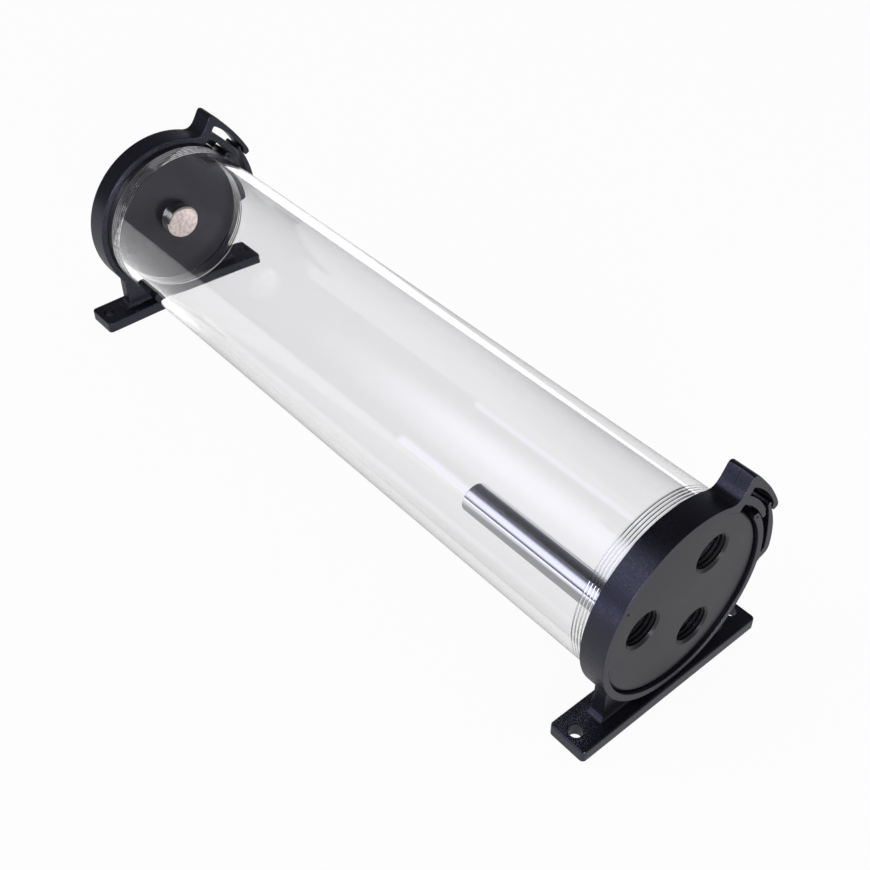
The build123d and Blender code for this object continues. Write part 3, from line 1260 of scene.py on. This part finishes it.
    def prism(self, name: str, outline: Sequence[Polar], start: float, width: float) -> bpy.types.Object:
        """Fill an outline round the tank axis and draw it out along X.

        Args:
            name: Name of the new object.
            outline: The outline's radii and angles.
            start: Its lower x in mm, counted from the ring's lower side.
            width: Its length along X.

        Returns:
            The solid.
        """
        obj = Bench.line(name, [tank_point(self.ring_back + start, r, a) for r, a in outline])
        bpy.ops.mesh.select_all(action="SELECT")
        bpy.ops.mesh.edge_face_add()
        bpy.ops.mesh.select_all(action="SELECT")
        bpy.ops.mesh.extrude_region_move(TRANSFORM_OT_translate={"value": (width * MM, 0, 0)})
        Bench.tidy(obj)
        return obj

    def seams(self) -> bpy.types.Object:
        """Model the cutter of the mould's parting lines on the thumb tab and on the roof's side."""
        upright = [(36.8, 60.8), (40.5, 60.5), (41.3, 60.2), (42.6, 60.0), (42.6, 63.5), (36.8, 63.5)]
        level = [(38.5, 60.65), (38.75, 60.65), (38.75, 63.5), (38.5, 63.5)]
        roof = [(38.5, 41.85), (41.5, 41.85), (41.5, 42.2), (38.5, 42.2)]
        width = self.ring_width
        return Bench.joined(
            [
                self.prism("upright_seam", upright, width * 0.5, 0.25),
                self.prism("level_seam", level, 0.9, width * 0.5 - 1.0),
                self.prism("level_seam_2", level, width * 0.5 + 0.35, width * 0.5 - 1.0),
                self.prism("roof_seam", roof, width - 0.16, 1.0),
            ]
        )

    def build_strap(self, finish: bpy.types.Material) -> bpy.types.Object:
        """Model the strap that snaps over the tank.

        Args:
            finish: Its material.

        Returns:
            The finished piece.
        """
        strap = self.slab(f"{self.end.prefix}_strap_body", self.strap_outline())
        Bench.combine(strap, self.slot_wall(), Cut.UNION)
        Bench.combine(strap, self.seams(), Cut.DIFFERENCE)
        Bench.smooth(strap, 35.0)
        return Bench.dress(
            strap, f"{self.end.prefix}_strap", f"{self.end.prefix}_strap", "black_nylon", [finish]
        )


# ---------------------------------------------------------------- studio


@dataclass
class Studio:
    """Floor, world, lamps and camera."""

    azimuth: float = 49.60
    elevation: float = 42.11
    roll: float = -0.33
    camera_place: Point = (261.35, -196.78, 302.99)
    lens: float = 52.09
    floor_tone: float = 0.90
    floor_glow: float = 0.95
    floor_gloss: float = 0.5
    # Painted glow of the floor where it is mirrored: x where it starts, x where it ends in metres, and the strength at
    # each.
    painted_far_glow: tuple[float, float, float, float] = (-0.125, -0.085, 1.9, 0.92)
    painted_inner_glow: tuple[float, float, float, float] = (-0.03, 0.05, 1.0, 0.36)
    fill_tone: Point = (1.0, 1.0, 1.0)
    fill_level: float = 0.5
    horizon_tone: Point = (0.26, 0.265, 0.29)
    wall_tone: Point = (0.085, 0.088, 0.105)
    ceiling_tone: Point = (0.02, 0.021, 0.025)
    left_share: float = 0.25

    def seen_by(self, tree: bpy.types.NodeTree, *rays: str) -> bpy.types.NodeSocket:
        """Value that is one for some kinds of ray, and zero for others.

        Args:
            tree: The node tree to add to.
            rays: Names of the light path's outputs.

        Returns:
            The value's socket.
        """
        path = tree.nodes.new("ShaderNodeLightPath")
        value = path.outputs[rays[0]]
        for ray in rays[1:]:
            either = tree.nodes.new("ShaderNodeMath")
            either.operation = "MAXIMUM"
            tree.links.new(value, either.inputs[0])
            tree.links.new(path.outputs[ray], either.inputs[1])
            value = either.outputs[0]
        return value

    def blend(
        self,
        tree: bpy.types.NodeTree,
        factor: bpy.types.NodeSocket,
        low: float | bpy.types.NodeSocket,
        high: float | bpy.types.NodeSocket,
    ) -> bpy.types.NodeSocket:
        """Pass from one value to another.

        Args:
            tree: The node tree to add to.
            factor: Zero for the first value, and one for the second.
            low: The first value.
            high: The second value.

        Returns:
            The result's socket.
        """
        node = tree.nodes.new("ShaderNodeMix")
        node.data_type = "FLOAT"
        tree.links.new(factor, node.inputs[0])
        for slot, value in ((2, low), (3, high)):
            if isinstance(value, float):
                node.inputs[slot].default_value = value
            else:
                tree.links.new(value, node.inputs[slot])
        return node.outputs[0]

    def floor_level(self, tree: bpy.types.NodeTree) -> bpy.types.NodeSocket:
        """Brightness of the floor: one as seen, and other levels as the pieces mirror it, with a painted glow by place
        along X that stands in for reflected light.

        Args:
            tree: The node tree to add to.

        Returns:
            The brightness's socket.
        """
        path = tree.nodes.new("ShaderNodeLightPath")
        tests = []
        for name in ("Glossy Depth", "Transmission Depth"):
            test = tree.nodes.new("ShaderNodeMath")
            test.operation = "GREATER_THAN"
            test.inputs[1].default_value = 0.5 if name == "Glossy Depth" else 2.5
            tree.links.new(path.outputs[name], test.inputs[0])
            tests.append(test.outputs[0])
        mirrored, walls = tests
        inside = tree.nodes.new("ShaderNodeMath")
        inside.operation = "MULTIPLY"
        tree.links.new(mirrored, inside.inputs[0])
        tree.links.new(walls, inside.inputs[1])
        place = tree.nodes.new("ShaderNodeTexCoord")
        parts = tree.nodes.new("ShaderNodeSeparateXYZ")
        tree.links.new(place.outputs["Object"], parts.inputs["Vector"])
        # Painted glow: where a piece mirrors the floor, the floor glows brighter towards -X. Seen from inside the
        # tube's walls, it glows dimmer towards +X. This stands in for reflected light.
        painted_glows = []
        for far_x, near_x, far, near in (self.painted_far_glow, self.painted_inner_glow):
            ramp = tree.nodes.new("ShaderNodeMapRange")
            ramp.interpolation_type = "SMOOTHSTEP"
            ramp.inputs["From Min"].default_value = far_x
            ramp.inputs["From Max"].default_value = near_x
            ramp.inputs["To Min"].default_value = far
            ramp.inputs["To Max"].default_value = near
            tree.links.new(parts.outputs["X"], ramp.inputs["Value"])
            painted_glows.append(ramp.outputs["Result"])
        level = self.blend(tree, mirrored, 1.0, painted_glows[0])
        level = self.blend(tree, inside.outputs[0], level, painted_glows[1])
        return self.blend(tree, path.outputs["Is Reflection Ray"], level, self.floor_gloss)

    def build_floor(self) -> None:
        """Lay the pale floor, which looks nearly white to the camera and keeps a faint shadow."""
        bpy.ops.object.select_all(action="DESELECT")
        bpy.ops.mesh.primitive_plane_add(size=6, location=(0, 0, -0.00002))
        floor = bpy.context.object
        floor.name = "studio_floor"
        material = bpy.data.materials.new("pale_floor")
        material.use_nodes = True
        tree = material.node_tree
        shader = tree.nodes["Principled BSDF"]
        shader.inputs["Base Color"].default_value = (self.floor_tone, self.floor_tone, self.floor_tone, 1)
        shader.inputs["Roughness"].default_value = 0.9
        shader.inputs["Specular IOR Level"].default_value = 0.1
        glow = tree.nodes.new("ShaderNodeEmission")
        glow.inputs["Color"].default_value = (1, 1, 1, 1)
        tree.links.new(self.floor_level(tree), glow.inputs["Strength"])
        share = tree.nodes.new("ShaderNodeMath")
        share.operation = "MULTIPLY"
        share.inputs[1].default_value = self.floor_glow
        seen = self.seen_by(tree, "Is Camera Ray", "Is Transmission Ray", "Is Glossy Ray")
        tree.links.new(seen, share.inputs[0])
        mix = tree.nodes.new("ShaderNodeMixShader")
        tree.links.new(share.outputs[0], mix.inputs["Fac"])
        tree.links.new(shader.outputs["BSDF"], mix.inputs[1])
        tree.links.new(glow.outputs["Emission"], mix.inputs[2])
        tree.links.new(mix.outputs["Shader"], tree.nodes["Material Output"].inputs["Surface"])
        floor.data.materials.append(material)

    def build_world(self) -> None:
        """Light the surroundings: white behind the object, and a dark room above it for what it mirrors."""
        world = bpy.data.worlds.new("studio_world")
        bpy.context.scene.world = world
        world.use_nodes = True
        tree = world.node_tree
        fill = tree.nodes["Background"]
        fill.inputs["Color"].default_value = (*self.fill_tone, 1)
        fill.inputs["Strength"].default_value = self.fill_level
        white = tree.nodes.new("ShaderNodeBackground")
        white.inputs["Color"].default_value = (1, 1, 1, 1)
        room = tree.nodes.new("ShaderNodeBackground")
        place = tree.nodes.new("ShaderNodeTexCoord")
        parts = tree.nodes.new("ShaderNodeSeparateXYZ")
        tree.links.new(place.outputs["Generated"], parts.inputs["Vector"])
        height = tree.nodes.new("ShaderNodeValToRGB")
        height.color_ramp.elements[0].position = 0.0
        height.color_ramp.elements[0].color = (*self.horizon_tone, 1)
        height.color_ramp.elements[1].position = 0.85
        height.color_ramp.elements[1].color = (*self.ceiling_tone, 1)
        middle = height.color_ramp.elements.new(0.4)
        middle.color = (*self.wall_tone, 1)
        tree.links.new(parts.outputs["Z"], height.inputs["Fac"])
        side = tree.nodes.new("ShaderNodeMapRange")
        side.inputs["From Min"].default_value = -0.25
        side.inputs["From Max"].default_value = 0.1
        side.inputs["To Min"].default_value = self.left_share
        side.inputs["To Max"].default_value = 1.0
        tree.links.new(parts.outputs["Y"], side.inputs["Value"])
        tree.links.new(height.outputs["Color"], room.inputs["Color"])
        tree.links.new(side.outputs["Result"], room.inputs["Strength"])
        first = tree.nodes.new("ShaderNodeMixShader")
        tree.links.new(self.seen_by(tree, "Is Glossy Ray", "Is Transmission Ray"), first.inputs["Fac"])
        tree.links.new(fill.outputs["Background"], first.inputs[1])
        tree.links.new(room.outputs["Background"], first.inputs[2])
        second = tree.nodes.new("ShaderNodeMixShader")
        tree.links.new(self.seen_by(tree, "Is Camera Ray"), second.inputs["Fac"])
        tree.links.new(first.outputs["Shader"], second.inputs[1])
        tree.links.new(white.outputs["Background"], second.inputs[2])
        tree.links.new(second.outputs["Shader"], tree.nodes["World Output"].inputs["Surface"])

    def lamp(
        self, name: str, place: Point, aim: Point, size: tuple[float, float], power: float, tone: Point
    ) -> bpy.types.AreaLight:
        """Hang one soft rectangular lamp.

        Args:
            name: Its name.
            place: Its place in metres.
            aim: The point that it faces.
            size: Its two sides in metres.
            power: Its power in watts.
            tone: Its colour.

        Returns:
            The lamp's data.
        """
        bpy.ops.object.light_add(type="AREA", location=place)
        lamp = bpy.context.object
        lamp.name = name
        lamp.data.shape = "RECTANGLE"
        lamp.data.size, lamp.data.size_y = size
        lamp.data.energy = power
        lamp.data.color = tone
        lamp.rotation_euler = (Vector(aim) - Vector(place)).to_track_quat("-Z", "Y").to_euler()
        return lamp.data

    def feather(self, lamp: bpy.types.AreaLight, share: float) -> None:
        """Fade a lamp out towards its four edges.

        Args:
            lamp: The lamp's data.
            share: Share of each side over which it fades.
        """
        lamp.use_nodes = True
        tree = lamp.node_tree
        spot = tree.nodes.new("ShaderNodeNewGeometry")
        parts = tree.nodes.new("ShaderNodeSeparateXYZ")
        tree.links.new(spot.outputs["Parametric"], parts.inputs["Vector"])
        level = tree.nodes.new("ShaderNodeMath")
        level.operation = "MULTIPLY"
        for slot, side in enumerate("XY"):
            centred = tree.nodes.new("ShaderNodeMath")
            centred.operation = "SUBTRACT"
            centred.inputs[1].default_value = 0.5
            tree.links.new(parts.outputs[side], centred.inputs[0])
            off = tree.nodes.new("ShaderNodeMath")
            off.operation = "ABSOLUTE"
            tree.links.new(centred.outputs[0], off.inputs[0])
            fade = tree.nodes.new("ShaderNodeMapRange")
            fade.interpolation_type = "SMOOTHSTEP"
            fade.inputs["From Min"].default_value = 0.5
            fade.inputs["From Max"].default_value = 0.5 - share
            tree.links.new(off.outputs[0], fade.inputs["Value"])
            tree.links.new(fade.outputs["Result"], level.inputs[slot])
        tree.links.new(level.outputs[0], tree.nodes["Emission"].inputs["Strength"])

    def build_lamps(self) -> None:
        """Hang the lamps."""
        left = self.lamp("left_softbox", (-0.42, -0.74, 0.80), (-0.42, 0, 0.03), (1.15, 1.3), 6.6, (0.82, 0.82, 1.0))
        self.feather(left, 0.36)
        self.lamp("low_strip", (-0.35, -1.2, 0.14), (-0.35, 0, 0.05), (0.9, 0.2), 1.3, (0.70, 0.68, 1.0))
        self.lamp("front_softbox", (1.12, -0.55, 0.36), (0.1, 0, 0.03), (0.5, 0.4), 8.0, (0.93, 0.94, 1.0))

    def build_camera(self) -> None:
        """Set up the camera at the photograph's angle."""
        a, e, roll = (math.radians(v) for v in (self.azimuth, self.elevation, self.roll))
        forward = Vector((-math.sin(a) * math.cos(e), math.cos(a) * math.cos(e), -math.sin(e)))
        level = forward.cross(Vector((0, 0, 1))).normalized()
        down = forward.cross(level)
        right = level * math.cos(roll) - down * math.sin(roll)
        up = right.cross(forward)
        data = bpy.data.cameras.new("studio_camera")
        data.lens = self.lens
        data.sensor_width = 36.0
        data.clip_start = 0.01
        camera = bpy.data.objects.new("studio_camera", data)
        bpy.context.scene.collection.objects.link(camera)
        turn = Matrix((right, up, -forward)).transposed()
        camera.matrix_world = Matrix.Translation(Vector(self.camera_place) * MM) @ turn.to_4x4()
        bpy.context.scene.camera = camera

    def build(self) -> None:
        """Build the whole studio."""
        self.build_floor()
        self.build_world()
        self.build_lamps()
        self.build_camera()
        bpy.context.scene.view_settings.view_transform = "Standard"
        log.info("studio is set")


def main() -> None:
    """Build every piece in order and report it."""
    logging.basicConfig(level=logging.INFO, format="%(name)s: %(message)s")
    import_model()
    nylon = MouldedNylon().build()
    acetal = TurnedAcetal().build()
    rubber = SealRubber().build()
    plating = BlackPlating().build()

    Tube().build(ClearAcrylic().build())
    port_cap = PortCap()
    port_cap.build(acetal)
    port_cap.standpipe(PolishedMetal().build())
    fill_cap = FillCap()
    fill_cap.build(acetal)
    fill_cap.plug(plating, BareMetal().build())
    groove = port_cap.tube_length / 2 - port_cap.groove_width / 2
    Seal("port_cap_ring", "port_cap_seal", "port_cap_seal", groove, 26.75, 1.6).build(rubber)
    Seal("fill_cap_ring", "fill_cap_seal", "fill_cap_seal", -groove, 26.75, 1.6).build(rubber)
    Seal("plug_ring", "fill_plug_seal", "fill_plug_seal", -(fill_cap.face + 0.75), 7.65, 1.4).build(rubber)
    for end in End:
        holder = SnapHolder(end)
        holder.ring_centre = 129.7
        holder.build_cradle(nylon)
        holder.build_strap(nylon)
    Studio().build()


if __name__ == "__main__":
    main()
